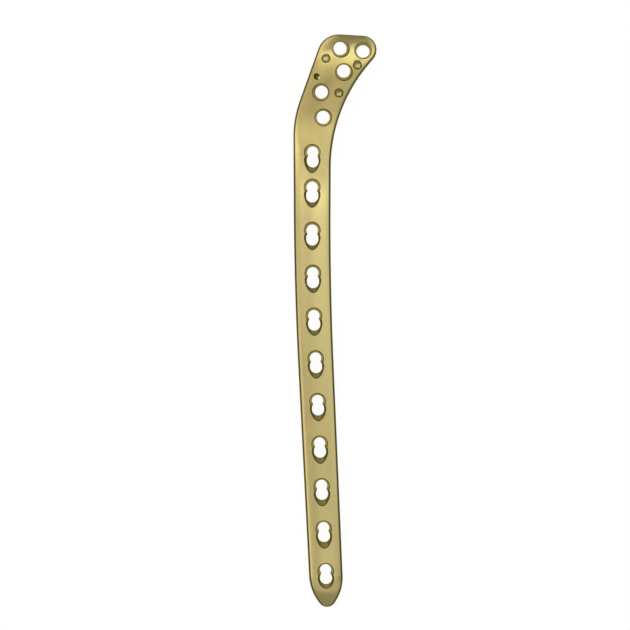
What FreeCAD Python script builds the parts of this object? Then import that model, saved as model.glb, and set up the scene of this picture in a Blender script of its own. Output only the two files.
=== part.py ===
"""A bone plate for small-fragment screws, one solid, in millimetres.

The shaft has a row of combination holes, each a conical locking hole that runs into a
sliding seat. The head is turned to one side, rises off the shaft's plane and curls down
at its end. It has round locking holes, blind guide dimples and one oblique wire hole.

The plate lies on its underside. +Z points away from the bone, +Y runs from the shaft's
tip to the head, and the origin is the bottom centre of the plate's box.
"""

import FreeCAD
import Part
import math
import os
from FreeCAD import Vector

# Plan outline. The plan's own zero is the tip, on the shaft's axis.
tip_width = 10.2
neck_width = 11.4
nose_radius = 2.9
nose_flank_angle = 36.0
nose_shoulder_radius = 15.5
shaft_lean = 2.7
shaft_bend_y = 98.5
shaft_bend_radius = 1000.0
left_neck_y = 148.9
left_neck_radius = 30.7
left_flank_angle = 20.0
right_neck_y = 151.6
right_neck_radius = 47.6
right_flank_angle = 40.0
head_end_y = 174.6
head_end_slope = 3.8
left_corner_radius = 6.4
right_corner_radius = 4.2

# Section across the plate
shaft_thickness = 4.0
head_thickness = 3.2
shaft_crown_radius = 20.0
head_crown_radius = 45.0
shaft_hollow_radius = 25.0
head_hollow_radius = 60.0
head_start_y = 132.0
head_blend_length = 20.0
nose_bevel_length = 10.0
nose_bevel_drop = 2.0
top_edge_radius = 0.9
bottom_edge_chamfer = 0.3

# Side profile of the head
rise_y = 127.0
rise_angle = 9.0
rise_direction = 24.0
rise_blend_length = 10.0
crest_distance = 32.0
crest_blend_length = 9.0
curl_y = 164.5
curl_angle = 20.0
curl_blend_length = 10.0

# Centre line of the head, for its crown and hollow
head_turn_y = 141.0
head_turn_angle = 26.0
head_turn_length = 12.0

# Combination holes, counted from the tip. The locking part lies towards the head.
combination_count = 11
combination_pitch = 13.0
first_combination_y = 11.3
last_combination_gap = 10.4
locking_land_radius = 1.75
locking_cone_radius = 2.5
locking_cone_angle = 14.5
slot_radius = 1.85
slot_start = 2.3
slot_end = 2.8
seat_radius = 2.6
seat_start_height = 0.7
seat_ramp_angle = 31.0

# Head holes: x, distance back from the head's end, then how far each axis leans to the
# right and towards the head's end
head_land_radius = 1.98
head_cone_radius = 2.6
head_cone_angle = 15.2
head_holes = [
    (-1.3, 25.5, 0.0, -6.0),
    (-2.1, 18.0, -6.7, -6.0),
    (4.9, 12.0, 1.0, -11.0),
    (3.9, 4.9, 3.0, -4.8),
    (10.7, 5.5, 0.0, 2.0),
]

# Guide dimples, and the wire hole, placed as the head holes are
dimple_radius = 1.38
dimple_depth = 0.7
dimples = [(3.4, 18.2), (8.9, 10.0), (-0.5, 8.0)]
wire_radius = 0.85
wire_place = (-3.3, 13.3)
wire_lean_right = -27.0
wire_lean_up = 8.0

# Undercuts across the underside, between the shaft's holes
undercut_chord = 8.0
undercut_depth = 1.0

# Distances that only have to pass clear of the plate
clear = 12.0
surface_step = 5.0
smallest_side = 0.001


def tangent(degrees):
    return math.tan(math.radians(degrees))


def bend(distance, length):
    """Rise of a line that turns evenly from level to a slope of one over the given length."""
    if distance <= 0:
        return 0.0
    if distance < length:
        return distance * distance / (2 * length)
    return distance - length / 2


def ease(value):
    """A smooth step from 0 to 1."""
    held = min(max(value, 0.0), 1.0)
    return held * held * (3 - 2 * held)


def unit(vector):
    return vector / vector.Length


def axis_x(y):
    """The shaft's axis: it leans below its bend and is upright above it."""
    turn = shaft_bend_radius * math.sin(math.radians(shaft_lean))
    start = shaft_bend_y - turn / 2
    return tangent(shaft_lean) * (bend(y - start, turn) - y)


def half_width(y):
    share = y / right_neck_y
    return (tip_width + (neck_width - tip_width) * share) / 2


def centre_x(y):
    """The plate's centre line in plan, along the shaft and on through the head."""
    return axis_x(y) + tangent(head_turn_angle) * bend(y - head_turn_y, head_turn_length)


def in_head(y):
    return ease((y - head_start_y) / head_blend_length)


def between(shaft_value, head_value, y):
    return shaft_value + (head_value - shaft_value) * in_head(y)


def profile_height(x, y):
    """Height of the underside's centre, as the head rises, crests and curls down."""
    turn = math.radians(rise_direction)
    along = (x - axis_x(rise_y)) * math.sin(turn) + (y - rise_y) * math.cos(turn)
    rise = bend(along, rise_blend_length) - bend(along - crest_distance, crest_blend_length)
    curl = bend(y - curl_y, curl_blend_length)
    return tangent(rise_angle) * rise - tangent(curl_angle) * curl


def underside_height(x, y):
    side = x - centre_x(y)
    hollow = between(1 / shaft_hollow_radius, 1 / head_hollow_radius, y)
    return profile_height(x, y) - hollow * side * side / 2


def top_height(x, y):
    side = x - centre_x(y)
    crown = between(1 / shaft_crown_radius, 1 / head_crown_radius, y)
    thickness = between(shaft_thickness, head_thickness, y)
    bevel = max(1 - y / nose_bevel_length, 0.0)
    drop = crown * side * side / 2 + nose_bevel_drop * bevel * bevel
    return profile_height(x, y) + thickness - drop


def top_normal(x, y):
    step = 0.01
    slope_x = (top_height(x + step, y) - top_height(x - step, y)) / (2 * step)
    slope_y = (top_height(x, y + step) - top_height(x, y - step)) / (2 * step)
    return unit(Vector(-slope_x, -slope_y, 1))


def crossing(point, heading, other, other_heading):
    """Where two lines in plan meet. A heading is in degrees, clockwise from +Y."""
    way = Vector(math.sin(math.radians(heading)), math.cos(math.radians(heading)), 0)
    other_way = Vector(math.sin(math.radians(other_heading)), math.cos(math.radians(other_heading)), 0)
    gap = other - point
    share = gap.cross(other_way).z / way.cross(other_way).z
    return point + way * share


def rounded_face(corners):
    """A flat face from a closed run of (corner, radius), each corner rounded by a tangent arc.

    Where two arcs would meet on the side between them, both are held to the room there.
    """
    count = len(corners)
    to_next = [corners[(index + 1) % count][0] - corners[index][0] for index in range(count)]
    half_angles = [(math.pi - to_next[index - 1].getAngle(to_next[index])) / 2 for index in range(count)]
    reaches = [radius / math.tan(half) for (corner, radius), half in zip(corners, half_angles)]
    room = [way.Length / (reaches[index] + reaches[(index + 1) % count]) for index, way in enumerate(to_next)]
    ends = []
    for index, (corner, radius) in enumerate(corners):
        before = -unit(to_next[index - 1])
        after = unit(to_next[index])
        share = min(1.0, room[index - 1], room[index])
        reach = reaches[index] * share
        inset = radius * share * (1 / math.sin(half_angles[index]) - 1)
        ends.append((corner + before * reach, corner + unit(before + after) * inset, corner + after * reach))
    edges = []
    for index, (start, middle, end) in enumerate(ends):
        last_end = ends[index - 1][2]
        if last_end.distanceToPoint(start) > smallest_side:
            edges.append(Part.LineSegment(last_end, start).toShape())
        edges.append(Part.Arc(start, middle, end).toShape())
    return Part.Face(Part.Wire(edges))


def plan_outline():
    nose_tip_y = nose_radius - nose_radius / math.sin(math.radians(nose_flank_angle))
    shoulder_y = nose_tip_y + tip_width / 2 / tangent(nose_flank_angle)

    def side_point(side, y):
        return Vector(axis_x(y) + side * half_width(y), y, 0)

    def bend_point(side):
        corner_x = -tangent(shaft_lean) * shaft_bend_y
        return Vector(corner_x + side * half_width(shaft_bend_y), shaft_bend_y, 0)

    left_neck = side_point(-1, left_neck_y)
    right_neck = side_point(1, right_neck_y)
    head_end = Vector(axis_x(head_end_y), head_end_y, 0)
    end_heading = 90 + head_end_slope
    left_corner = crossing(left_neck, left_flank_angle, head_end, end_heading)
    right_corner = crossing(right_neck, right_flank_angle, head_end, end_heading)
    return rounded_face([
        (Vector(0, nose_tip_y, 0), nose_radius),
        (side_point(1, shoulder_y), nose_shoulder_radius),
        (bend_point(1), shaft_bend_radius),
        (right_neck, right_neck_radius),
        (right_corner, right_corner_radius),
        (left_corner, left_corner_radius),
        (left_neck, left_neck_radius),
        (bend_point(-1), shaft_bend_radius),
        (side_point(-1, shoulder_y), nose_shoulder_radius),
    ])


def height_surface(height, box):
    """A smooth face over the plan's box, through the given height at an even grid of places."""
    rows = math.ceil((box.YLength + 2 * clear) / surface_step)
    columns = math.ceil((box.XLength + 2 * clear) / surface_step)
    grid = []
    for column in range(columns + 1):
        x = box.XMin - clear + (box.XLength + 2 * clear) * column / columns
        line = []
        for row in range(rows + 1):
            y = box.YMin - clear + (box.YLength + 2 * clear) * row / rows
            line.append(Vector(x, y, height(x, y)))
        grid.append(line)
    surface = Part.BSplineSurface()
    surface.interpolate(grid)
    return surface.toShape()


def lies_on(edge, height):
    """Whether an edge runs along the surface of that height."""
    for share in (0.0, 0.5, 1.0):
        length = edge.FirstParameter + (edge.LastParameter - edge.FirstParameter) * share
        point = edge.valueAt(length)
        if abs(point.z - height(point.x, point.y)) > 0.05:
            return False
    return True


def blank():
    """The plate before its holes: the outline between its two surfaces, with eased edges."""
    outline = plan_outline()
    prism = outline.extrude(Vector(0, 0, 4 * clear))
    prism.translate(Vector(0, 0, -2 * clear))
    below_top = height_surface(top_height, outline.BoundBox).extrude(Vector(0, 0, -4 * clear))
    above_underside = height_surface(underside_height, outline.BoundBox).extrude(Vector(0, 0, 4 * clear))
    body = prism.common(below_top).common(above_underside)
    top_edges = [edge for edge in body.Edges if lies_on(edge, top_height)]
    body = body.makeFillet(top_edge_radius, top_edges)
    bottom_edges = [edge for edge in body.Edges if lies_on(edge, underside_height)]
    return body.makeChamfer(bottom_edge_chamfer, bottom_edges)


def locking_cutter(land_radius, cone_radius, cone_angle):
    """A round locking hole, turned about +Z: a cone for the thread above a plain land."""
    cone_depth = (cone_radius - land_radius) / tangent(cone_angle)
    profile = [
        (0, -clear),
        (land_radius, -clear),
        (land_radius, -cone_depth),
        (cone_radius + clear * tangent(cone_angle), clear),
        (0, clear),
    ]
    outline = Part.makePolygon([Vector(0, -radius, height) for radius, height in profile + profile[:1]])
    return Part.Face(outline).revolve(Vector(0, 0, 0), Vector(0, 0, 1))


def slot_prism():
    """The slot's upright wall: two half circles joined by straight sides."""
    right = Vector(slot_radius, 0, 0)
    start = Vector(0, -slot_start, -clear)
    end = Vector(0, -slot_end, -clear)
    rear_arc = Part.Arc(start + right, start + Vector(0, slot_radius, 0), start - right)
    front_arc = Part.Arc(end - right, end - Vector(0, slot_radius, 0), end + right)
    left_side = Part.LineSegment(start - right, end - right)
    right_side = Part.LineSegment(end + right, start + right)
    outline = Part.Wire([piece.toShape() for piece in (rear_arc, left_side, front_arc, right_side)])
    return Part.Face(outline).extrude(Vector(0, 0, 2 * clear))


def sliding_cutter():
    """The sliding part of a combination hole: a short slot under a seat that ramps up to the tip."""
    seat_low = Vector(0, -slot_start, seat_start_height)
    ramp = Part.makeCylinder(seat_radius, clear, seat_low, Vector(0, -1, tangent(seat_ramp_angle)))
    ball = Part.makeSphere(seat_radius, seat_low)
    ball.rotate(seat_low, Vector(0, 0, 1), 90)
    return slot_prism().multiFuse([ball, ramp])


def placed(tool, x, y, outward, heading=0.0):
    """The tool at a place on the top surface, turned in plan and stood along the outward axis."""
    turn = FreeCAD.Rotation(Vector(0, 0, 1), -heading)
    stand = FreeCAD.Rotation(Vector(0, 0, 1), outward)
    copy = tool.copy()
    copy.Placement = FreeCAD.Placement(Vector(x, y, top_height(x, y)), stand.multiply(turn))
    return copy


def leaning(right, up):
    """An upward axis that leans by these angles to the right and towards the head's end."""
    return unit(Vector(tangent(right), tangent(up), 1))


def combination_places():
    """Plan place of each combination hole's locking part, from the tip to the head."""
    rows = [first_combination_y + index * combination_pitch for index in range(combination_count - 1)]
    rows.append(rows[-1] + last_combination_gap)
    return [(axis_x(y), y) for y in rows]


def axis_heading(y):
    step = 0.5
    return math.degrees(math.atan2(axis_x(y + step) - axis_x(y - step), 2 * step))


def combination_cutters(tool):
    return [placed(tool, x, y, top_normal(x, y), axis_heading(y)) for x, y in combination_places()]


def head_cutters():
    tool = locking_cutter(head_land_radius, head_cone_radius, head_cone_angle)
    return [placed(tool, x, head_end_y - back, leaning(right, up)) for x, back, right, up in head_holes]


def dimple_cutters():
    """Guide dimples, each the cone that a drill's point leaves."""
    tip = Vector(0, 0, -dimple_depth)
    cone = Part.makeCone(0, 2 * dimple_radius, 2 * dimple_depth, tip)
    places = [(x, head_end_y - back) for x, back in dimples]
    return [placed(cone, x, y, top_normal(x, y)) for x, y in places]


def wire_cutter():
    x, back = wire_place
    drill = Part.makeCylinder(wire_radius, 2 * clear, Vector(0, 0, -clear))
    return placed(drill, x, head_end_y - back, leaning(wire_lean_right, wire_lean_up))


def undercut_cutters():
    """A shallow round groove across the underside, on the land between each two shaft holes."""
    groove_radius = (undercut_chord ** 2 / 4 + undercut_depth ** 2) / (2 * undercut_depth)
    places = combination_places()
    cutters = []
    for (x, y), (next_x, next_y) in zip(places[:-2], places[1:-1]):
        land_start = y + locking_land_radius
        land_end = next_y - slot_end - slot_radius
        middle_y = (land_start + land_end) / 2
        across = unit(Vector(1, -tangent(axis_heading(middle_y)), 0))
        edge_height = underside_height(axis_x(middle_y) + half_width(middle_y), middle_y)
        centre = Vector(axis_x(middle_y), middle_y, edge_height + undercut_depth - groove_radius)
        cutters.append(Part.makeCylinder(groove_radius, 2 * clear, centre - across * clear, across))
    return cutters


def bone_plate():
    plate = blank()
    locking_tool = locking_cutter(locking_land_radius, locking_cone_radius, locking_cone_angle)
    plate = plate.cut(combination_cutters(locking_tool))
    plate = plate.cut(combination_cutters(sliding_cutter()))
    plate = plate.cut(head_cutters() + dimple_cutters() + [wire_cutter()])
    return plate.cut(undercut_cutters())


def settle(shape):
    """The shape with the bottom centre of its box at the origin."""
    box = shape.optimalBoundingBox()
    shape.translate(Vector(-box.Center.x, -box.Center.y, -box.ZMin))
    return shape


plate = settle(bone_plate())
solid = plate.Solids[0]
os.makedirs("parts", exist_ok=True)
solid.exportStep("parts/bone_plate.step")
box = solid.optimalBoundingBox()
print("solids", len(plate.Solids), "valid", solid.isValid(), "volume", round(solid.Volume, 1))
print("size", round(box.XLength, 2), round(box.YLength, 2), round(box.ZLength, 2))
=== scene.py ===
"""Scene for the bone plate: a smooth, finely divided body, its thread ridges and its finish.

The body is drawn from the same named sizes as the plate's solid, in millimetres from the
shaft's tip, and is set into the frame at the end. +Y runs to the head and +Z away from bone.
"""

import math

import bpy
import numpy as np
from mathutils import Matrix, Quaternion, Vector
from mathutils.geometry import delaunay_2d_cdt


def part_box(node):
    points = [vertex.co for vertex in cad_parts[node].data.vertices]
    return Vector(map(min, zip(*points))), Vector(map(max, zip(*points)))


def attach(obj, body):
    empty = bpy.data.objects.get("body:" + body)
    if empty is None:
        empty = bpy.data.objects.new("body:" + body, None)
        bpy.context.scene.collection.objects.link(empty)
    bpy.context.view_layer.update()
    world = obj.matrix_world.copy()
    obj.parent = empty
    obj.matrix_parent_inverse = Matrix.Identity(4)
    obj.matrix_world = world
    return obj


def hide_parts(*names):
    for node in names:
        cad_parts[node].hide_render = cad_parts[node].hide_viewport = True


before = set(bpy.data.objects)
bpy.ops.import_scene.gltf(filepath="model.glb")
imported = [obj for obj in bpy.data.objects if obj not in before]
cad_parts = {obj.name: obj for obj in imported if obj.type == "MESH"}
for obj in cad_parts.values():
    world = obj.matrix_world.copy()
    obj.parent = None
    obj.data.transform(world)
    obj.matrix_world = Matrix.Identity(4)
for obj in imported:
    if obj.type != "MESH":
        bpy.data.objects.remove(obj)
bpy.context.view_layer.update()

MM = 0.001

# Plan outline
tip_width = 10.2
neck_width = 11.4
nose_radius = 2.9
nose_flank_angle = 36.0
nose_shoulder_radius = 15.5
shaft_lean = 2.7
shaft_bend_y = 98.5
shaft_bend_radius = 1000.0
left_neck_y = 148.9
left_neck_radius = 30.7
left_flank_angle = 20.0
right_neck_y = 151.6
right_neck_radius = 47.6
right_flank_angle = 40.0
head_end_y = 174.6
head_end_slope = 3.8
left_corner_radius = 6.4
right_corner_radius = 4.2

# Section across the plate
shaft_thickness = 4.0
head_thickness = 3.2
shaft_crown_radius = 20.0
head_crown_radius = 45.0
shaft_hollow_radius = 25.0
head_hollow_radius = 60.0
head_start_y = 132.0
head_blend_length = 20.0
nose_bevel_length = 10.0
nose_bevel_drop = 2.0
top_edge_radius = 0.9
bottom_edge_radius = 0.35

# Side profile of the head
rise_y = 127.0
rise_angle = 9.0
rise_direction = 24.0
rise_blend_length = 10.0
crest_distance = 32.0
crest_blend_length = 9.0
curl_y = 164.5
curl_angle = 20.0
curl_blend_length = 10.0
head_turn_y = 141.0
head_turn_angle = 26.0
head_turn_length = 12.0

# Combination holes
combination_count = 11
combination_pitch = 13.0
first_combination_y = 11.3
last_combination_gap = 10.4
locking_land_radius = 1.75
locking_cone_radius = 2.5
locking_cone_angle = 14.5
slot_radius = 1.85
slot_start = 2.3
slot_end = 2.8
seat_radius = 2.6
seat_start_height = 0.7
seat_ramp_angle = 31.0

# Head holes: x, distance back from the head's end, lean right, lean up
head_land_radius = 1.98
head_cone_radius = 2.6
head_cone_angle = 15.2
head_holes = [
    (-1.3, 25.5, 0.0, -6.0),
    (-2.1, 18.0, -6.7, -6.0),
    (4.9, 12.0, 1.0, -11.0),
    (3.9, 4.9, 3.0, -4.8),
    (10.7, 5.5, 0.0, 2.0),
]
dimple_radius = 1.38
dimple_depth = 0.7
dimples = [(3.4, 18.2), (8.9, 10.0), (-0.5, 8.0)]
wire_radius = 0.85
wire_place = (-3.3, 13.3)
wire_lean_right = -27.0
wire_lean_up = 8.0

# Undercuts
undercut_chord = 8.0
undercut_depth = 1.0

# How finely the body is divided
edge_step = 0.45
arc_step = 4.0
least_gap = 0.02
tiny = 1e-9
look_ahead = 0.1
top_edge_rings = 7
bottom_edge_rings = 4
wall_rows = 4
combination_columns = 88
head_columns = 72
wire_columns = 40
dimple_columns = 48
hole_middle_y = -1.0
hole_rows = 9
wire_rows = 6
wire_crease = -1.0
dimple_rows = 9
dimple_wall_share = 0.95
rim_ease = 0.12
least_wall = 0.1
under_guess = -3.0
meeting_steps = 14
crease_range = (-3.0, 0.3)
crease_halvings = 24
skin_step = 0.8
skin_row_share = 0.866
skin_clearance = 0.55
skin_batch = 2000
skin_tolerance = 1e-7
sharp_angle = 30.0

# Painted shade, which darkens the colour: rings counted from the outside in, and shares from rim to
# wall
shaft_shaded_rings = 6.8
head_shaded_rings = 5.5
shade_fade_rings = 1.4
wall_shade = 0.5
rim_shade = (0.0, 1.0, 0.8, 0.2)
wire_rim_shade = (0.0, 1.0, 1.0, 0.7)
dimple_shade = (0.0, 1.0, 0.8, 0.3, 0.0)

# Thread ridges
combination_thread_turns = 5
combination_thread_sweep = 226.0
head_thread_turns = 4
head_thread_sweep = 360.0
thread_pitch = 0.45
thread_start_rise = 0.15
thread_start_gap = 0.05
ridge_radius = 0.11
ridge_sides = 6
ridge_points = 56
ridge_bore_share = 0.45


def tangent(degrees):
    """Tangent of an angle in degrees."""
    return math.tan(math.radians(degrees))


def bend(distance, length):
    """Rise of a line that turns evenly from level to a slope of one over the given length."""
    distance = np.asarray(distance, dtype=float)
    turned = np.clip(distance, 0.0, length)
    return turned * turned / (2 * length) + np.maximum(distance - length, 0.0)


def ease(value):
    """Runs smoothly from nought to one."""
    held = np.clip(value, 0.0, 1.0)
    return held * held * (3 - 2 * held)


def axis_x(y):
    """The shaft's middle line: it leans left up to its bend, then runs straight up."""
    turn = shaft_bend_radius * math.sin(math.radians(shaft_lean))
    start = shaft_bend_y - turn / 2
    return tangent(shaft_lean) * (bend(y - start, turn) - y)


def half_width(y):
    """Half the shaft's width, which grows evenly from the tip to the neck."""
    return (tip_width + (neck_width - tip_width) * y / right_neck_y) / 2


def centre_x(y):
    """The plate's middle line, which leaves the shaft's where the head turns right."""
    return axis_x(y) + tangent(head_turn_angle) * bend(y - head_turn_y, head_turn_length)


def between(shaft_value, head_value, y):
    """A value of the shaft's section, blended into the head's."""
    return shaft_value + (head_value - shaft_value) * ease((y - head_start_y) / head_blend_length)


def profile_height(x, y):
    """Side profile: the level shaft, the head's rise and crest, and the curl at its end."""
    turn = math.radians(rise_direction)
    along = (x - axis_x(rise_y)) * math.sin(turn) + (y - rise_y) * math.cos(turn)
    rise = bend(along, rise_blend_length) - bend(along - crest_distance, crest_blend_length)
    return tangent(rise_angle) * rise - tangent(curl_angle) * bend(y - curl_y, curl_blend_length)


def hollow_height(x, y):
    """Underside without its grooves, hollowed across the plate."""
    side = x - centre_x(y)
    hollow = between(1 / shaft_hollow_radius, 1 / head_hollow_radius, y)
    return profile_height(x, y) - hollow * side * side / 2


def top_height(x, y):
    """Top, crowned across the plate and bevelled at the tip."""
    side = x - centre_x(y)
    crown = between(1 / shaft_crown_radius, 1 / head_crown_radius, y)
    bevel = np.maximum(1 - np.asarray(y) / nose_bevel_length, 0.0)
    drop = crown * side * side / 2 + nose_bevel_drop * bevel * bevel
    return profile_height(x, y) + between(shaft_thickness, head_thickness, y) - drop


def combination_places():
    """The combination holes' places on the shaft's axis, from the tip up."""
    even = range(combination_count - 1)
    rows = [first_combination_y + index * combination_pitch for index in even]
    rows.append(rows[-1] + last_combination_gap)
    return [(float(axis_x(y)), y) for y in rows]


def axis_heading(y):
    """Heading of the shaft's middle line in degrees, clockwise from +Y."""
    return math.degrees(math.atan2(axis_x(y + 0.5) - axis_x(y - 0.5), 1.0))


def undercuts():
    """Each groove's middle on the axis, its heading, its centre's height and its radius."""
    radius = (undercut_chord ** 2 / 4 + undercut_depth ** 2) / (2 * undercut_depth)
    found = []
    places = combination_places()
    for (_, y), (_, next_y) in zip(places[:-2], places[1:-1]):
        middle_y = (y + locking_land_radius + next_y - slot_end - slot_radius) / 2
        middle_x = float(axis_x(middle_y))
        edge = float(hollow_height(middle_x + half_width(middle_y), middle_y))
        heading = math.radians(axis_heading(middle_y))
        found.append((middle_x, middle_y, heading, edge + undercut_depth - radius, radius))
    return found


grooves = undercuts()


def under_height(x, y):
    """Underside with its grooves."""
    height = hollow_height(x, y)
    for middle_x, middle_y, heading, centre, radius in grooves:
        along = (x - middle_x) * math.sin(heading) + (y - middle_y) * math.cos(heading)
        rise = np.sqrt(np.maximum(radius * radius - along * along, 0.0))
        groove = np.where(np.abs(along) < undercut_chord, centre + rise, -np.inf)
        height = np.maximum(height, groove)
    return height


# Outline in plan

def way_of(heading):
    """Unit vector in plan for a heading in degrees, clockwise from +Y."""
    angle = math.radians(heading)
    return Vector((math.sin(angle), math.cos(angle)))


def crossing(point, heading, other, other_heading):
    """Where two lines in plan meet, each given as a point and a heading."""
    way = way_of(heading)
    other_way = way_of(other_heading)
    gap = other - point
    turn = way.x * other_way.y - way.y * other_way.x
    return point + way * ((gap.x * other_way.y - gap.y * other_way.x) / turn)


def outline_corners():
    """The outline's sharp corners in plan, anticlockwise from the tip, each with its radius."""
    nose_tip_y = nose_radius - nose_radius / math.sin(math.radians(nose_flank_angle))
    shoulder_y = nose_tip_y + tip_width / 2 / tangent(nose_flank_angle)

    def side_point(side, y):
        return Vector((float(axis_x(y)) + side * half_width(y), y))

    def bend_point(side):
        x = side * half_width(shaft_bend_y) - tangent(shaft_lean) * shaft_bend_y
        return Vector((x, shaft_bend_y))

    left_neck = side_point(-1, left_neck_y)
    right_neck = side_point(1, right_neck_y)
    head_end = Vector((float(axis_x(head_end_y)), head_end_y))
    end_heading = 90 + head_end_slope
    return [
        (Vector((0.0, nose_tip_y)), nose_radius),
        (side_point(1, shoulder_y), nose_shoulder_radius),
        (bend_point(1), shaft_bend_radius),
        (right_neck, right_neck_radius),
        (crossing(right_neck, right_flank_angle, head_end, end_heading), right_corner_radius),
        (crossing(left_neck, left_flank_angle, head_end, end_heading), left_corner_radius),
        (left_neck, left_neck_radius),
        (bend_point(-1), shaft_bend_radius),
        (side_point(-1, shoulder_y), nose_shoulder_radius),
    ]


def stretch(run, end, step):
    """Adds even points from the run's last point towards the given end, which isn't added."""
    start = run[-1]
    pieces = math.ceil((end - start).length / step)
    run.extend(start.lerp(end, piece / pieces) for piece in range(1, pieces))


def outline_points(step):
    """The rounded outline as an anticlockwise run of points, none further apart than the step."""
    corners = outline_corners()
    count = len(corners)
    ways = [corners[(index + 1) % count][0] - corners[index][0] for index in range(count)]
    halves = [(math.pi - ways[index - 1].angle(ways[index])) / 2 for index in range(count)]
    reaches = [radius / math.tan(half) for (corner, radius), half in zip(corners, halves)]
    room = [way.length / (reaches[index] + reaches[(index + 1) % count])
            for index, way in enumerate(ways)]
    run = []
    for index, (corner, radius) in enumerate(corners):
        share = min(1.0, room[index - 1], room[index])
        radius = radius * share
        reach = reaches[index] * share
        before = -ways[index - 1].normalized()
        after = ways[index].normalized()
        centre = corner + (before + after).normalized() * (radius / math.sin(halves[index]))
        start = corner + before * reach
        end = corner + after * reach
        if run:
            stretch(run, start, step)
        first_angle = math.atan2(start.y - centre.y, start.x - centre.x)
        turn = math.atan2(end.y - centre.y, end.x - centre.x) - first_angle
        turn = (turn + math.pi) % (2 * math.pi) - math.pi
        pieces = max(math.ceil(abs(turn) * radius / step),
                     math.ceil(abs(turn) / math.radians(arc_step)))
        for piece in range(pieces + 1):
            angle = first_angle + turn * piece / pieces
            run.append(centre + radius * Vector((math.cos(angle), math.sin(angle))))
    stretch(run, run[0], step)
    kept = [run[0]]
    for point in run[1:]:
        if (point - kept[-1]).length > least_gap:
            kept.append(point)
    if (kept[0] - kept[-1]).length < least_gap:
        kept.pop()
    return np.array([(point.x, point.y) for point in kept])


def inward_normals(loop):
    """Unit vectors in plan that point into an anticlockwise loop from its points."""
    ahead = np.roll(loop, -1, axis=0) - loop
    behind = loop - np.roll(loop, 1, axis=0)
    ahead /= np.linalg.norm(ahead, axis=1)[:, None]
    behind /= np.linalg.norm(behind, axis=1)[:, None]
    way = ahead + behind
    way /= np.linalg.norm(way, axis=1)[:, None]
    return np.stack([-way[:, 1], way[:, 0]], axis=1)


def rounded_edge(loop, inward, height, radius, sign, rings):
    """Rings of a rolled edge from the wall onto a surface: above for sign 1, beneath for -1."""
    seat = loop + inward * radius
    ahead = loop + inward * (radius + look_ahead)
    slope = (height(ahead[:, 0], ahead[:, 1]) - height(seat[:, 0], seat[:, 1])) / look_ahead
    lean = np.arctan(slope) * sign
    reach = radius * (1 - np.sin(lean))
    touch = loop + inward * reach[:, None]
    centre = height(touch[:, 0], touch[:, 1]) - sign * radius * np.cos(lean)
    result = []
    for ring in range(rings + 1):
        angle = (math.pi / 2 - lean) * ring / rings
        place = loop + inward * (radius * (1 - np.cos(angle)))[:, None]
        level = centre + sign * radius * np.sin(angle)
        result.append(np.column_stack([place, level]))
    return result


# Holes

def stood_on(x, y, outward, heading=0.0):
    """Frame of a hole: its origin on the top surface and its three axes."""
    outward = Vector(outward).normalized()
    stand = Vector((0, 0, 1)).rotation_difference(outward)
    turn = Quaternion((0, 0, 1), math.radians(-heading))
    rotation = (stand @ turn).to_matrix()
    return np.array([x, y, float(top_height(x, y))]), np.array(rotation)


def top_normal(x, y):
    """The way out of the top surface."""
    step = 0.01
    slope_x = (top_height(x + step, y) - top_height(x - step, y)) / (2 * step)
    slope_y = (top_height(x, y + step) - top_height(x, y - step)) / (2 * step)
    return -float(slope_x), -float(slope_y), 1.0


def leaning(right, up):
    """The way out of a hole that leans by the given degrees."""
    return tangent(right), tangent(up), 1.0


def cone_depth(land, cone, angle):
    """How far under the top a cone runs out into its land."""
    return (cone - land) / tangent(angle)


# Every wall below is given a hole's ways in plan and its heights, though not each needs both

def cone_wall(land, cone, angle):
    """A locking hole's radius by height under the top: a cone above a plain land."""
    def reach(ways, heights):
        return np.maximum(land, land + (heights + cone_depth(land, cone, angle)) * tangent(angle))
    return reach


def plain_wall(radius):
    """A straight hole's radius, the same at every height."""
    def reach(ways, heights):
        return np.full(len(ways), radius)
    return reach


def circle_exit(ways, centre_y, radius):
    """How far each ray in plan runs before it leaves a circle on the hole's long axis."""
    along = ways[:, 1] * centre_y
    left = radius * radius - (centre_y * centre_y - along * along)
    return np.where(left > 0, along + np.sqrt(np.maximum(left, 0.0)), 0.0)


def combination_parts(ways, heights):
    """Reach of the locking part, the slot and the seat from a point between them."""
    locking = cone_wall(locking_land_radius, locking_cone_radius, locking_cone_angle)(ways, heights)
    locking = circle_exit(ways, -hole_middle_y, locking)
    slot = np.maximum(
        circle_exit(ways, -slot_start - hole_middle_y, slot_radius),
        circle_exit(ways, -slot_end - hole_middle_y, slot_radius))
    side = slot_radius / np.maximum(np.abs(ways[:, 0]), tiny)
    side_y = hole_middle_y + side * ways[:, 1]
    on_side = (side_y <= -slot_start) & (side_y >= -slot_end)
    slot = np.where(on_side, np.maximum(slot, side), slot)
    ball = seat_radius ** 2 - (heights - seat_start_height) ** 2
    seat = circle_exit(ways, -slot_start - hole_middle_y, np.sqrt(np.maximum(ball, 0.0)))
    ramp_angle = math.radians(seat_ramp_angle)
    ramp = np.array([0.0, -math.cos(ramp_angle), math.sin(ramp_angle)])
    nothing = np.zeros(len(ways))
    begin = np.column_stack([
        nothing, nothing + (hole_middle_y + slot_start), heights - seat_start_height])
    line = np.column_stack([ways, nothing])
    begin_across = begin - (begin @ ramp)[:, None] * ramp
    line_across = line - (line @ ramp)[:, None] * ramp
    a = np.maximum((line_across ** 2).sum(axis=1), tiny)
    b = (begin_across * line_across).sum(axis=1)
    c = (begin_across ** 2).sum(axis=1) - seat_radius ** 2
    left = b * b - a * c
    far = (-b + np.sqrt(np.maximum(left, 0.0))) / a
    ahead = (begin + line * far[:, None]) @ ramp >= 0
    seat = np.where((left > 0) & ahead, np.maximum(seat, far), seat)
    return locking, slot, seat


def combination_wall(ways, heights):
    """Reach of the whole combination hole, the furthest of its three parts."""
    return np.maximum.reduce(combination_parts(ways, heights))


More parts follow.
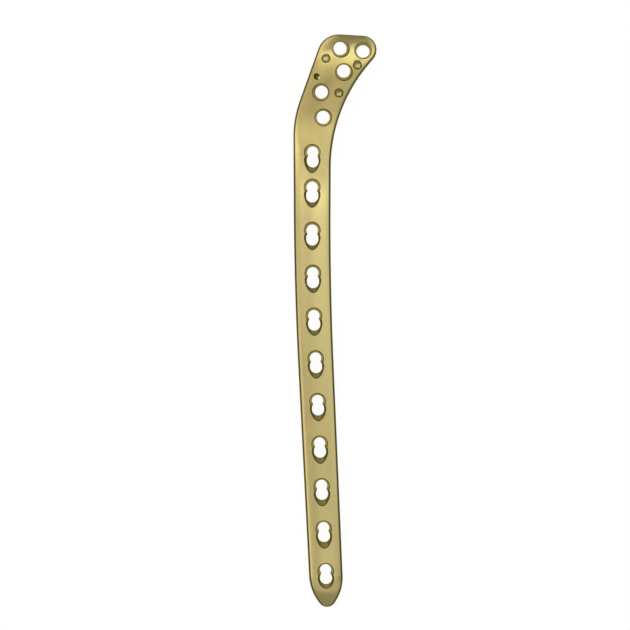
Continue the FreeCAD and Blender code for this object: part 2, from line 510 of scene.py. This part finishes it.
def combination_crease(ways):
    """Height at which the seat, or the cone, runs out into the plain wall under it."""
    count = len(ways)
    locking, slot, seat = combination_parts(ways, np.zeros(count))
    on_seat = np.maximum(slot, seat) > locking
    low, high = (np.full(count, level) for level in crease_range)
    for _ in range(crease_halvings):
        middle = (low + high) / 2
        locking, slot, seat = combination_parts(ways, middle)
        above = seat > np.maximum(slot, locking)
        high = np.where(above, middle, high)
        low = np.where(above, low, middle)
    bottom = -cone_depth(locking_land_radius, locking_cone_radius, locking_cone_angle)
    return np.where(on_seat, (low + high) / 2, bottom)


def in_place(place, axes, ways, reach, start_y, heights):
    """Points at the given reach and height round a hole, in the plate's own millimetres."""
    local = np.column_stack([ways[:, 0] * reach, start_y + ways[:, 1] * reach, heights])
    return place + local @ axes.T


def meeting(place, axes, ways, wall, start_y, surface, first, extra=0.0):
    """Height in the hole's own frame at which each column of its wall meets a surface."""
    heights = np.full(len(ways), first)
    for _ in range(meeting_steps):
        points = in_place(place, axes, ways, wall(ways, heights) + extra, start_y, heights)
        heights = heights - (points[:, 2] - surface(points[:, 0], points[:, 1])) / axes[2, 2]
    return heights


def around(columns):
    """Even ways in plan, clockwise from +Y."""
    turns = 2 * math.pi * np.arange(columns) / columns
    return np.column_stack([np.sin(turns), np.cos(turns)])


def hole_rings(place, axes, wall, crease, ways, rows, start_y=0.0):
    """A hole's wall as rings of points, from the rim on the top to the rim on the underside."""
    top_rim = meeting(place, axes, ways, wall, start_y, top_height, 0.0, rim_ease)
    top = meeting(place, axes, ways, wall, start_y, top_height, 0.0) - rim_ease
    bottom = meeting(place, axes, ways, wall, start_y, under_height, under_guess) + rim_ease
    bottom_rim = meeting(place, axes, ways, wall, start_y, under_height, under_guess, rim_ease)
    crease = np.minimum(np.maximum(crease, bottom + least_wall), top - least_wall)
    levels = [(top_rim, rim_ease)]
    levels += [(top + (crease - top) * row / rows, 0.0) for row in range(rows)]
    levels += [(crease + (bottom - crease) * row / rows, 0.0) for row in range(rows + 1)]
    levels += [(bottom_rim, rim_ease)]
    return [in_place(place, axes, ways, wall(ways, np.minimum(level, top)) + extra, start_y, level)
            for level, extra in levels]


def dimple_rings(place, axes, ways):
    """A blind round dimple as rings from its rim down to the last ring round its bottom."""
    ball = (dimple_radius ** 2 + dimple_depth ** 2) / (2 * dimple_depth)
    widest = math.asin(min(dimple_radius / ball, 1.0))
    count = len(ways)
    rim = in_place(place, axes, ways, np.full(count, dimple_radius), 0.0, np.zeros(count))
    rim[:, 2] = top_height(rim[:, 0], rim[:, 1])
    rings = [rim]
    for row in range(dimple_rows):
        angle = widest * (1 - row / dimple_rows) * dimple_wall_share
        level = ball - dimple_depth - ball * math.cos(angle)
        reach = np.full(count, ball * math.sin(angle))
        rings.append(in_place(place, axes, ways, reach, 0.0, np.full(count, level)))
    return rings, place + axes @ np.array([0.0, 0.0, -dimple_depth])


def inside(points, loop):
    """Which points lie within a closed loop in plan."""
    x = points[:, 0][:, None]
    y = points[:, 1][:, None]
    x1, y1 = loop[:, 0], loop[:, 1]
    x2, y2 = np.roll(x1, -1), np.roll(y1, -1)
    crosses = (y1 > y) != (y2 > y)
    rise = np.where(y2 == y1, tiny, y2 - y1)
    left_of = x < (x2 - x1) * (y - y1) / rise + x1
    return (np.count_nonzero(crosses & left_of, axis=1) % 2) == 1


def skin_grid(outer, openings, step):
    """An even field of places within the outer loop, clear of it and of every opening."""
    low = outer.min(axis=0)
    high = outer.max(axis=0)
    rows = np.arange(low[1], high[1], step * skin_row_share)
    field = []
    for index, y in enumerate(rows):
        shift = 0.5 * step * (index % 2)
        field += [(x, y) for x in np.arange(low[0] + shift, high[0], step)]
    field = np.array(field)
    field = field[inside(field, outer)]
    edge = np.vstack([outer] + openings)
    clear = np.ones(len(field), dtype=bool)
    for start in range(0, len(field), skin_batch):
        part = field[start:start + skin_batch]
        gap = np.linalg.norm(part[:, None, :] - edge[None, :, :], axis=2).min(axis=1)
        clear[start:start + skin_batch] = gap > step * skin_clearance
    field = field[clear]
    for opening in openings:
        field = field[~inside(field, opening)]
    return field


def enclosed(triangles, borders, plan):
    """The triangles reached from the last place of the plan without crossing a border."""
    closed = {frozenset(border) for border in borders}
    sides = {}
    for index, triangle in enumerate(triangles):
        for corner in range(3):
            side = frozenset((triangle[corner], triangle[corner - 1]))
            if side not in closed:
                sides.setdefault(side, []).append(index)
    inner = len(plan) - 1
    near = next(index for index, triangle in enumerate(triangles) if inner in triangle)
    reached = {near}
    waiting = [near]
    while waiting:
        triangle = triangles[waiting.pop()]
        for corner in range(3):
            for other in sides.get(frozenset((triangle[corner], triangle[corner - 1])), []):
                if other not in reached:
                    reached.add(other)
                    waiting.append(other)
    return [triangles[index] for index in sorted(reached)]


class Body:
    """Collects the plate's points and faces, how much painted shade each point takes and how
    bore-like it is.
    """

    def __init__(self):
        self.points = []
        self.faces = []
        # How much painted shade each point takes is kept as edge, and how bore-like it is as bore
        self.edge = []
        self.bore = []

    def add(self, ring, edge=0.0, bore=0.0):
        """Adds a ring of points and returns their numbers."""
        first = len(self.points)
        self.points.extend(tuple(point) for point in ring)
        self.edge.extend(np.broadcast_to(edge, len(ring)).tolist())
        self.bore.extend([bore] * len(ring))
        return list(range(first, first + len(ring)))

    def band(self, one, other):
        """Joins two rings of as many points."""
        count = len(one)
        for index in range(count):
            following = (index + 1) % count
            self.faces.append((one[index], one[following], other[following], other[index]))

    def bands(self, rings):
        """Joins each ring of a row to the next."""
        for one, other in zip(rings[:-1], rings[1:]):
            self.band(other, one)

    def sunk(self, rings, painted_shade, bore=0.0):
        """Adds a hole's or dimple's joined rings, with painted shade as given from the rim inwards.
        """
        inner = range(1, len(rings) - 1)
        added = [self.add(ring, painted_shade[min(index, len(painted_shade) - 1)], bore if index in inner else 0.0)
                 for index, ring in enumerate(rings)]
        self.bands(added)
        return added

    def skin(self, outer, openings, step, height, upward):
        """Closes a cap between the outer ring and the openings' rings with an even skin."""
        borders = [outer] + openings
        flat = [np.array([self.points[index][:2] for index in ring]) for ring in borders]
        field = skin_grid(flat[0], flat[1:], step)
        level = height(field[:, 0], field[:, 1])
        extra = self.add(np.column_stack([field, level]))
        owners = [index for ring in borders for index in ring] + extra
        plan = [Vector(self.points[index][:2]) for index in owners]
        edges = []
        start = 0
        for ring in borders:
            count = len(ring)
            edges += [(start + index, start + (index + 1) % count) for index in range(count)]
            start += count
        _, _, found, origins, _, _ = delaunay_2d_cdt(plan, edges, [], 0, skin_tolerance)
        triangles = [[origins[corner][0] for corner in triangle] for triangle in found]
        for corners in enclosed(triangles, edges, plan):
            a, b, c = (plan[corner] for corner in corners)
            if ((b - a).cross(c - a) > 0) != upward:
                corners.reverse()
            self.faces.append(tuple(owners[corner] for corner in corners))


def plate_body():
    """The whole plate as one closed body: its edge, its holes and dimples, then both skins."""
    body = Body()
    loop = outline_points(edge_step)
    inward = inward_normals(loop)
    top_rings = rounded_edge(loop, inward, top_height, top_edge_radius, 1, top_edge_rings)
    under_rings = rounded_edge(
        loop, inward, under_height, bottom_edge_radius, -1, bottom_edge_rings)
    rows = []
    # Painted shade: the top's rounded edge, the side wall and the underside's rounding are darkened
    # in colour
    for index, ring in enumerate(top_rings):
        painted_shade = (between(shaft_shaded_rings, head_shaded_rings, ring[:, 1]) - index) / shade_fade_rings
        rows.append(body.add(ring, edge=np.clip(painted_shade, 0.0, 1.0)))
    upper, lower = top_rings[0], under_rings[0]
    wall = [body.add(upper + (lower - upper) * row / wall_rows, edge=wall_shade)
            for row in range(1, wall_rows)]
    beneath = [body.add(ring, edge=wall_shade if index < bottom_edge_rings else 0.0)
               for index, ring in enumerate(under_rings)]
    body.bands(rows[::-1] + wall + beneath)

    holes = []
    ways = around(combination_columns)
    crease = combination_crease(ways)
    for x, y in combination_places():
        place, axes = stood_on(x, y, top_normal(x, y), axis_heading(y))
        rings = hole_rings(place, axes, combination_wall, crease, ways, hole_rows, hole_middle_y)
        holes.append((rings, rim_shade))
    ways = around(head_columns)
    wall = cone_wall(head_land_radius, head_cone_radius, head_cone_angle)
    crease = -cone_depth(head_land_radius, head_cone_radius, head_cone_angle)
    for x, back, right, up in head_holes:
        place, axes = stood_on(x, head_end_y - back, leaning(right, up))
        holes.append((hole_rings(place, axes, wall, crease, ways, hole_rows), rim_shade))
    ways = around(wire_columns)
    x, back = wire_place
    place, axes = stood_on(x, head_end_y - back, leaning(wire_lean_right, wire_lean_up))
    rings = hole_rings(place, axes, plain_wall(wire_radius), wire_crease, ways, wire_rows)
    holes.append((rings, wire_rim_shade))
    top_openings = []
    under_openings = []
    # Each hole's rim rings take painted shade as given, and its wall counts as a bore
    for rings, painted_shade in holes:
        added = body.sunk(rings, painted_shade, bore=1.0)
        top_openings.append(added[0])
        under_openings.append(added[-1])

    ways = around(dimple_columns)
    for x, back in dimples:
        y = head_end_y - back
        place, axes = stood_on(x, y, top_normal(x, y))
        rings, bottom = dimple_rings(place, axes, ways)
        # The dimple's rings take painted shade as given
        added = body.sunk(rings, dimple_shade)
        centre = body.add([bottom])[0]
        lowest = added[-1]
        for index, point in enumerate(lowest):
            body.faces.append((lowest[(index + 1) % dimple_columns], point, centre))
        top_openings.append(added[0])

    body.skin(rows[-1], top_openings, skin_step, top_height, True)
    body.skin(beneath[-1], under_openings, skin_step, under_height, False)
    return body


def made_mesh(name, body, shift):
    """The body as a mesh in the frame's metres, with its painted shade as the edge attribute, and
    its bore and side.
    """
    points = np.array(body.points)
    side = (points[:, 0] - centre_x(points[:, 1])) / (neck_width / 2)
    mesh = bpy.data.meshes.new(name)
    mesh.from_pydata([tuple(point) for point in (points + shift) * MM], [], body.faces)
    mesh.update()
    for label, values in (("edge", body.edge), ("bore", body.bore), ("side", side)):
        layer = mesh.attributes.new(label, "FLOAT", "POINT")
        layer.data.foreach_set("value", values)
    mesh.shade_smooth()
    mesh.set_sharp_from_angle(angle=math.radians(sharp_angle))
    return mesh


def in_scene(name, data):
    """A new object of the given data, linked into the scene."""
    piece = bpy.data.objects.new(name, data)
    bpy.context.scene.collection.objects.link(piece)
    return piece


body = plate_body()
points = np.array(body.points)
low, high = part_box("bone_plate")
low = np.array(low) / MM
high = np.array(high) / MM
middle = (points.min(axis=0) + points.max(axis=0)) / 2
shift = np.array([
    (low[0] + high[0]) / 2 - middle[0],
    (low[1] + high[1]) / 2 - middle[1],
    high[2] - points[:, 2].max(),
])
plate = in_scene("plate_body", made_mesh("plate_body", body, shift))


# Nodes that both kinds of tree use

def math_node(tree, operation, *values):
    """The result of a Math node, whose values are sockets or plain numbers."""
    node = tree.nodes.new("ShaderNodeMath")
    node.operation = operation
    for socket, value in zip(node.inputs, values):
        if isinstance(value, float):
            socket.default_value = value
        else:
            tree.links.new(value, socket)
    return node.outputs[0]


def map_range(tree, value, from_min, from_max, to_min, to_max):
    """The result of a Map Range node."""
    node = tree.nodes.new("ShaderNodeMapRange")
    tree.links.new(value, node.inputs["Value"])
    node.inputs["From Min"].default_value = from_min
    node.inputs["From Max"].default_value = from_max
    node.inputs["To Min"].default_value = to_min
    node.inputs["To Max"].default_value = to_max
    return node.outputs[0]


# Thread ridges: each turn is an arc that climbs and widens up the cone of a locking hole

def thread_tree():
    """The nodes that draw one hole's ridge and stand a copy of it in every hole."""
    tree = bpy.data.node_groups.new("thread_ridges", "GeometryNodeTree")
    face = tree.interface
    face.new_socket(name="Holes", in_out="INPUT", socket_type="NodeSocketGeometry")
    face.new_socket(name="Turns", in_out="INPUT", socket_type="NodeSocketInt")
    for name in ("Sweep", "Pitch", "Start Depth", "Start Radius", "Cone Slope", "Ridge Radius"):
        face.new_socket(name=name, in_out="INPUT", socket_type="NodeSocketFloat")
    face.new_socket(name="Metal", in_out="INPUT", socket_type="NodeSocketMaterial")
    face.new_socket(name="Ridges", in_out="OUTPUT", socket_type="NodeSocketGeometry")
    nodes, links = tree.nodes, tree.links
    sizes = nodes.new("NodeGroupInput").outputs
    out = nodes.new("NodeGroupOutput").inputs

    def number(operation, first, second):
        return math_node(tree, operation, first, second)

    # One unit arc for each turn
    arc = nodes.new("GeometryNodeCurveArc")
    arc.inputs["Resolution"].default_value = ridge_points
    arc.inputs["Radius"].default_value = 1.0
    half_sweep = number("MULTIPLY", sizes["Sweep"], 0.5)
    links.new(number("SUBTRACT", math.pi / 2, half_sweep), arc.inputs["Start Angle"])
    links.new(sizes["Sweep"], arc.inputs["Sweep Angle"])
    stack = nodes.new("GeometryNodeMeshLine")
    links.new(sizes["Turns"], stack.inputs["Count"])
    stack.inputs["Offset"].default_value = (0.0, 0.0, 0.0)
    turns = nodes.new("GeometryNodeInstanceOnPoints")
    links.new(stack.outputs[0], turns.inputs["Points"])
    links.new(arc.outputs[0], turns.inputs["Instance"])
    arcs = nodes.new("GeometryNodeRealizeInstances")
    links.new(turns.outputs[0], arcs.inputs[0])

    # Each arc climbs with the pitch and widens with the cone
    which = nodes.new("GeometryNodeCurveOfPoint")
    share = nodes.new("GeometryNodeSplineParameter")
    swept = number("MULTIPLY", share.outputs["Factor"], sizes["Sweep"])
    swept = number("DIVIDE", swept, 2 * math.pi)
    climb = number("MULTIPLY", number("ADD", which.outputs["Curve Index"], swept), sizes["Pitch"])
    radius = number("ADD", sizes["Start Radius"], number("MULTIPLY", climb, sizes["Cone Slope"]))
    level = number("SUBTRACT", climb, sizes["Start Depth"])
    unit = nodes.new("GeometryNodeInputPosition")
    split = nodes.new("ShaderNodeSeparateXYZ")
    links.new(unit.outputs[0], split.inputs[0])
    joined = nodes.new("ShaderNodeCombineXYZ")
    links.new(number("MULTIPLY", split.outputs[0], radius), joined.inputs[0])
    links.new(number("MULTIPLY", split.outputs[1], radius), joined.inputs[1])
    links.new(level, joined.inputs[2])
    move = nodes.new("GeometryNodeSetPosition")
    links.new(arcs.outputs[0], move.inputs["Geometry"])
    links.new(joined.outputs[0], move.inputs["Position"])

    # A round ridge along the arcs, partly as rough as a bore and partly given the bores' painted
    # shade
    profile = nodes.new("GeometryNodeCurvePrimitiveCircle")
    profile.inputs["Resolution"].default_value = ridge_sides
    links.new(sizes["Ridge Radius"], profile.inputs["Radius"])
    ridge = nodes.new("GeometryNodeCurveToMesh")
    links.new(move.outputs[0], ridge.inputs["Curve"])
    links.new(profile.outputs[0], ridge.inputs["Profile Curve"])
    ridge.inputs["Fill Caps"].default_value = True
    rough_and_shaded = nodes.new("GeometryNodeStoreNamedAttribute")
    rough_and_shaded.data_type = "FLOAT"
    rough_and_shaded.domain = "POINT"
    rough_and_shaded.inputs["Name"].default_value = "bore"
    rough_and_shaded.inputs["Value"].default_value = ridge_bore_share
    links.new(ridge.outputs[0], rough_and_shaded.inputs["Geometry"])

    # A copy in every hole, which leans as the hole does
    stand = nodes.new("GeometryNodeInputNamedAttribute")
    stand.data_type = "FLOAT_VECTOR"
    stand.inputs["Name"].default_value = "stand"
    turn = nodes.new("FunctionNodeEulerToRotation")
    links.new(stand.outputs["Attribute"], turn.inputs[0])
    place = nodes.new("GeometryNodeInstanceOnPoints")
    links.new(sizes["Holes"], place.inputs["Points"])
    links.new(rough_and_shaded.outputs[0], place.inputs["Instance"])
    links.new(turn.outputs[0], place.inputs["Rotation"])
    solid = nodes.new("GeometryNodeRealizeInstances")
    links.new(place.outputs[0], solid.inputs[0])
    smooth = nodes.new("GeometryNodeSetShadeSmooth")
    links.new(solid.outputs[0], smooth.inputs["Geometry"])
    metal = nodes.new("GeometryNodeSetMaterial")
    links.new(smooth.outputs[0], metal.inputs["Geometry"])
    links.new(sizes["Metal"], metal.inputs["Material"])
    links.new(metal.outputs[0], out[0])
    return tree


def threads(name, tree, holes, metal, values):
    """A finished mesh of the ridges of several holes, each given as its place and its axes."""
    cloud = bpy.data.meshes.new(name + "_holes")
    cloud.from_pydata([tuple((place + shift) * MM) for place, axes in holes], [], [])
    stand = cloud.attributes.new("stand", "FLOAT_VECTOR", "POINT")
    turns = [Matrix(axes.tolist()).to_euler() for place, axes in holes]
    stand.data.foreach_set("vector", [angle for turn in turns for angle in turn])
    carrier = in_scene(name + "_holes", cloud)
    modifier = carrier.modifiers.new("ridges", "NODES")
    modifier.node_group = tree
    sockets = {item.name: item.identifier
               for item in tree.interface.items_tree if item.in_out == "INPUT"}
    for label, value in values.items():
        modifier[sockets[label]] = value
    modifier[sockets["Metal"]] = metal
    carrier.update_tag()
    bpy.context.view_layer.update()
    evaluated = carrier.evaluated_get(bpy.context.evaluated_depsgraph_get())
    mesh = bpy.data.meshes.new_from_object(evaluated)
    mesh.name = name
    bpy.data.objects.remove(carrier)
    return in_scene(name, mesh)


def thread_values(turns, sweep, land, cone, angle):
    """What the tree is given for one kind of locking hole, in metres and radians."""
    return {
        "Turns": turns,
        "Sweep": math.radians(sweep),
        "Pitch": thread_pitch * MM,
        "Start Depth": (cone_depth(land, cone, angle) - thread_start_rise) * MM,
        "Start Radius": (land + thread_start_gap) * MM,
        "Cone Slope": tangent(angle),
        "Ridge Radius": ridge_radius * MM,
    }


# Finish: the colours of the metal and its film, the painted shade in bores and at edges, the film's
# drift, and the grain in metres
film_gold = (0.94, 0.745, 0.30, 1.0)
film_olive = (0.845, 0.745, 0.31, 1.0)
# Painted shade: the darker colours of the bores and of the edges
painted_bore_shade = (0.46, 0.405, 0.13, 1.0)
painted_edge_shade = (0.145, 0.118, 0.038, 1.0)
glancing_tint = (0.3, 0.26, 0.14, 1.0)
olive_at_left = -0.1
olive_at_right = 0.6
drift_scale = 38.0
drift_range = (0.35, 0.65)
drift_share = 0.5
grain_size = 0.00022
grain_bump = 0.07
grain_bump_depth = 0.00003
broad_grain_scale = 260.0
skin_roughness = 0.2
bore_roughness = 0.42
roughness_spread = 0.08

# A colour Mix node's sockets: its factor, its two colours and its result
mix_factor, mix_first, mix_second, mix_result = 0, 6, 7, 2


def shader_group(name, inputs, outputs):
    """An empty group of shader nodes with the given sockets."""
    group = bpy.data.node_groups.new(name, "ShaderNodeTree")
    for label, kind, value in inputs:
        socket = group.interface.new_socket(name=label, in_out="INPUT", socket_type=kind)
        socket.default_value = value
    for label, kind in outputs:
        group.interface.new_socket(name=label, in_out="OUTPUT", socket_type=kind)
    return group


def satin_grain():
    """Fine blasted grain: its height, and how it varies the roughness."""
    group = shader_group("satin_grain", [
        ("Place", "NodeSocketVector", (0.0, 0.0, 0.0)),
        ("Grain Size", "NodeSocketFloat", grain_size),
        ("Roughness", "NodeSocketFloat", skin_roughness),
        ("Spread", "NodeSocketFloat", roughness_spread),
    ], [("Height", "NodeSocketFloat"), ("Roughness", "NodeSocketFloat")])
    nodes, links = group.nodes, group.links
    given = nodes.new("NodeGroupInput").outputs
    out = nodes.new("NodeGroupOutput").inputs
    fine = nodes.new("ShaderNodeTexNoise")
    fine.inputs["Detail"].default_value = 3.0
    fine.inputs["Roughness"].default_value = 0.6
    links.new(given["Place"], fine.inputs["Vector"])
    links.new(math_node(group, "DIVIDE", 1.0, given["Grain Size"]), fine.inputs["Scale"])
    links.new(fine.outputs["Fac"], out["Height"])
    broad = nodes.new("ShaderNodeTexNoise")
    broad.inputs["Scale"].default_value = broad_grain_scale
    broad.inputs["Detail"].default_value = 4.0
    links.new(given["Place"], broad.inputs["Vector"])
    centred = math_node(group, "SUBTRACT", broad.outputs["Fac"], 0.5)
    spread = math_node(group, "MULTIPLY_ADD", centred, given["Spread"], given["Roughness"])
    links.new(spread, out["Roughness"])
    return group


# Painted highlight and painted shade in bands along the plate, each after its share of the bands'
# whole reach
painted_light_reach = 0.09
painted_light_bands = [
    (0.02, (0.95, 0.94, 0.94)),
    (0.09, (0.83, 0.83, 0.85)),
    (0.66, (0.80, 0.80, 0.82)),
    (0.745, (1.0, 1.0, 1.0)),
    (0.82, (1.0, 0.99, 0.97)),
    (0.86, (0.75, 0.73, 0.69)),
    (0.89, (0.69, 0.67, 0.62)),
    (0.915, (0.69, 0.68, 0.63)),
    (0.952, (0.85, 0.85, 0.79)),
    (0.985, (0.79, 0.80, 0.75)),
]


def film_colour_and_painted_light():
    """The oxide film's colour and hue across the plate, with painted light: bands of painted
    highlight and shade along the plate, and painted shade in bores and at edges.
    """
    group = shader_group("film_colour_and_painted_light", [
        ("Place", "NodeSocketVector", (0.0, 0.0, 0.0)),
        ("Gold", "NodeSocketColor", film_gold),
        ("Olive", "NodeSocketColor", film_olive),
        ("Bore Shade", "NodeSocketColor", painted_bore_shade),
        ("Edge Shade", "NodeSocketColor", painted_edge_shade),
        ("Bore", "NodeSocketFloat", 0.0),
        ("Edge", "NodeSocketFloat", 0.0),
        ("Side", "NodeSocketFloat", 0.0),
    ], [("Colour", "NodeSocketColor")])
    nodes, links = group.nodes, group.links
    given = nodes.new("NodeGroupInput").outputs
    out = nodes.new("NodeGroupOutput").inputs

    def blend(kind, factor, first, second):
        node = nodes.new("ShaderNodeMix")
        node.data_type = "RGBA"
        node.blend_type = kind
        if isinstance(factor, float):
            node.inputs[mix_factor].default_value = factor
        else:
            links.new(factor, node.inputs[mix_factor])
        links.new(first, node.inputs[mix_first])
        links.new(second, node.inputs[mix_second])
        return node.outputs[mix_result]

    drift = nodes.new("ShaderNodeTexNoise")
    drift.inputs["Scale"].default_value = drift_scale
    drift.inputs["Detail"].default_value = 2.0
    links.new(given["Place"], drift.inputs["Vector"])
    clouds = map_range(group, drift.outputs["Fac"], *drift_range, 0.0, drift_share)
    across = map_range(group, given["Side"], -1.0, 1.0, olive_at_left, olive_at_right)
    hue = math_node(group, "ADD", clouds, across)
    hue.node.use_clamp = True
    split = nodes.new("ShaderNodeSeparateXYZ")
    links.new(given["Place"], split.inputs[0])
    # Painted highlight and painted shade: bands along the plate that lighten or darken the film's
    # colour
    film = nodes.new("ShaderNodeValToRGB")
    film.color_ramp.interpolation = "EASE"
    stops = film.color_ramp.elements  # a new ramp has two
    for index, (position, tone) in enumerate(painted_light_bands):
        stop = stops[index] if index < 2 else stops.new(1.0)
        stop.position = position
        stop.color = (*tone, 1.0)
    along = map_range(group, split.outputs[1], -painted_light_reach, painted_light_reach, 0.0, 1.0)
    links.new(along, film.inputs[0])
    skin = blend("MIX", hue, given["Gold"], given["Olive"])
    skin = blend("MULTIPLY", 1.0, skin, film.outputs[0])
    # Painted shade in the bores and at the edges
    walls = blend("MIX", given["Bore"], skin, given["Bore Shade"])
    links.new(blend("MIX", given["Edge"], walls, given["Edge Shade"]), out["Colour"])
    return group


def anodised_titanium(grain, tint):
    """The plate's gold metal, with its grain, its tinted oxide film, and painted highlight and
    shade in its colour.
    """
    metal = bpy.data.materials.new("anodised_titanium")
    metal.use_nodes = True
    nodes, links = metal.node_tree.nodes, metal.node_tree.links
    shader = nodes["Principled BSDF"]
    shader.inputs["Metallic"].default_value = 1.0
    shader.inputs["Specular Tint"].default_value = glancing_tint
    place = nodes.new("ShaderNodeTexCoord").outputs["Object"]
    surface = nodes.new("ShaderNodeGroup")
    surface.node_tree = grain
    links.new(place, surface.inputs["Place"])
    colour = nodes.new("ShaderNodeGroup")
    colour.node_tree = tint
    links.new(place, colour.inputs["Place"])
    layers = {}
    # The edge attribute carries painted shade, and the bore attribute carries roughness and painted
    # shade
    for label, socket in (("side", "Side"), ("edge", "Edge"), ("bore", "Bore")):
        node = nodes.new("ShaderNodeAttribute")
        node.attribute_name = label
        layers[label] = node.outputs["Fac"]
        links.new(layers[label], colour.inputs[socket])
    rougher = map_range(metal.node_tree, layers["bore"], 0.0, 1.0, skin_roughness, bore_roughness)
    links.new(rougher, surface.inputs["Roughness"])
    links.new(colour.outputs["Colour"], shader.inputs["Base Color"])
    links.new(surface.outputs["Roughness"], shader.inputs["Roughness"])
    bump = nodes.new("ShaderNodeBump")
    bump.inputs["Strength"].default_value = grain_bump
    bump.inputs["Distance"].default_value = grain_bump_depth
    links.new(surface.outputs["Height"], bump.inputs["Height"])
    links.new(bump.outputs["Normal"], shader.inputs["Normal"])
    return metal


metal = anodised_titanium(satin_grain(), film_colour_and_painted_light())
plate.data.materials.append(metal)
tree = thread_tree()
combination_frames = [stood_on(x, y, top_normal(x, y), axis_heading(y))
                      for x, y in combination_places()]
head_frames = [stood_on(x, head_end_y - back, leaning(right, up))
               for x, back, right, up in head_holes]
combination_threads = threads("combination_threads", tree, combination_frames, metal, thread_values(
    combination_thread_turns, combination_thread_sweep,
    locking_land_radius, locking_cone_radius, locking_cone_angle))
head_threads = threads("head_threads", tree, head_frames, metal, thread_values(
    head_thread_turns, head_thread_sweep,
    head_land_radius, head_cone_radius, head_cone_angle))

for piece in (plate, combination_threads, head_threads):
    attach(piece, "root")
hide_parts("bone_plate")


# Studio

floor_half = 3.0
floor_glow = 1.1
floor_glow_share = 0.85
paper_white = (0.86, 0.86, 0.86, 1.0)
paper_roughness = 0.9
lamp_height = 4.0
lamp_spacing = 0.02
sky_strength = 0.28
camera_place = (-0.00598, 0.02157, 0.5216)
camera_tilt = -2.1
camera_lens = 97.43
camera_sensor = 36.0
camera_near = 0.01


def floor_material():
    """Pale paper that looks white to the camera and in the metal, and keeps the shadow."""
    paper = bpy.data.materials.new("white_floor")
    paper.use_nodes = True
    tree = paper.node_tree
    nodes, links = tree.nodes, tree.links
    diffuse = nodes["Principled BSDF"]
    diffuse.inputs["Base Color"].default_value = paper_white
    diffuse.inputs["Roughness"].default_value = paper_roughness
    glow = nodes.new("ShaderNodeEmission")
    glow.inputs["Color"].default_value = (1.0, 1.0, 1.0, 1.0)
    glow.inputs["Strength"].default_value = floor_glow
    path = nodes.new("ShaderNodeLightPath").outputs
    seen = math_node(tree, "MAXIMUM", path["Is Camera Ray"], path["Is Transmission Ray"])
    seen = math_node(tree, "MAXIMUM", seen, path["Is Glossy Ray"])
    mix = nodes.new("ShaderNodeMixShader")
    links.new(math_node(tree, "MULTIPLY", seen, floor_glow_share), mix.inputs[0])
    links.new(diffuse.outputs[0], mix.inputs[1])
    links.new(glow.outputs[0], mix.inputs[2])
    links.new(mix.outputs[0], nodes["Material Output"].inputs["Surface"])
    return paper


floor_mesh = bpy.data.meshes.new("floor")
corners = [(-floor_half, -floor_half, 0), (floor_half, -floor_half, 0),
           (floor_half, floor_half, 0), (-floor_half, floor_half, 0)]
floor_mesh.from_pydata(corners, [], [(0, 1, 2, 3)])
floor_mesh.materials.append(floor_material())
floor = in_scene("floor", floor_mesh)


def softbox(name, low, high, height, radiance):
    """A level lamp that fills the sky over the plate from one slope to another.

    Each slope is given as (right, up), in degrees from straight overhead.
    """
    left, near = (height * tangent(slope) for slope in low)
    right, far = (height * tangent(slope) for slope in high)
    lamp = bpy.data.lights.new(name, "AREA")
    lamp.shape = "RECTANGLE"
    lamp.size = right - left
    lamp.size_y = far - near
    lamp.energy = radiance * math.pi * (right - left) * (far - near)
    in_scene(name, lamp).location = ((left + right) / 2, (near + far) / 2, height)


# Each lamp's name, its two slopes and its radiance
softboxes = [
    ("overhead_softbox", (-20, -6), (20, 3), 0.46),
    ("crest_softbox", (-20, 3), (20, 20), 0.66),
    ("head_softbox", (-20, 20), (9, 32), 0.95),
    ("head_left_softbox", (-48, 20), (-20, 60), 0.7),
    ("head_right_softbox", (20, 20), (48, 60), 0.5),
    ("right_softbox", (0, 0), (25, 24), 0.34),
    ("side_softbox", (20, -12), (48, 20), 0.5),
    ("left_softbox", (-60, -20), (-26, -3), 0.58),
    ("left_crest_softbox", (-50, -4), (-18, 20), 0.42),
    ("tip_softbox", (-8, -20), (20, -8), 0.5),
    ("low_softbox", (-48, -22), (-8, -8), 0.3),
    ("nose_softbox", (-48, -36), (48, -22), 0.26),
]
for index, (name, low_slope, high_slope, radiance) in enumerate(softboxes):
    softbox(name, low_slope, high_slope, lamp_height - lamp_spacing * index, radiance)

world = bpy.data.worlds.new("studio")
bpy.context.scene.world = world
world.use_nodes = True
background = world.node_tree.nodes["Background"]
background.inputs["Color"].default_value = (1.0, 1.0, 1.0, 1.0)
background.inputs["Strength"].default_value = sky_strength

camera_data = bpy.data.cameras.new("camera")
camera_data.sensor_width = camera_sensor
camera_data.lens = camera_lens
camera_data.clip_start = camera_near
camera = in_scene("camera", camera_data)
camera.location = camera_place
camera.rotation_euler = (math.radians(camera_tilt), 0.0, 0.0)
bpy.context.scene.camera = camera
bpy.context.scene.view_settings.view_transform = "Standard"
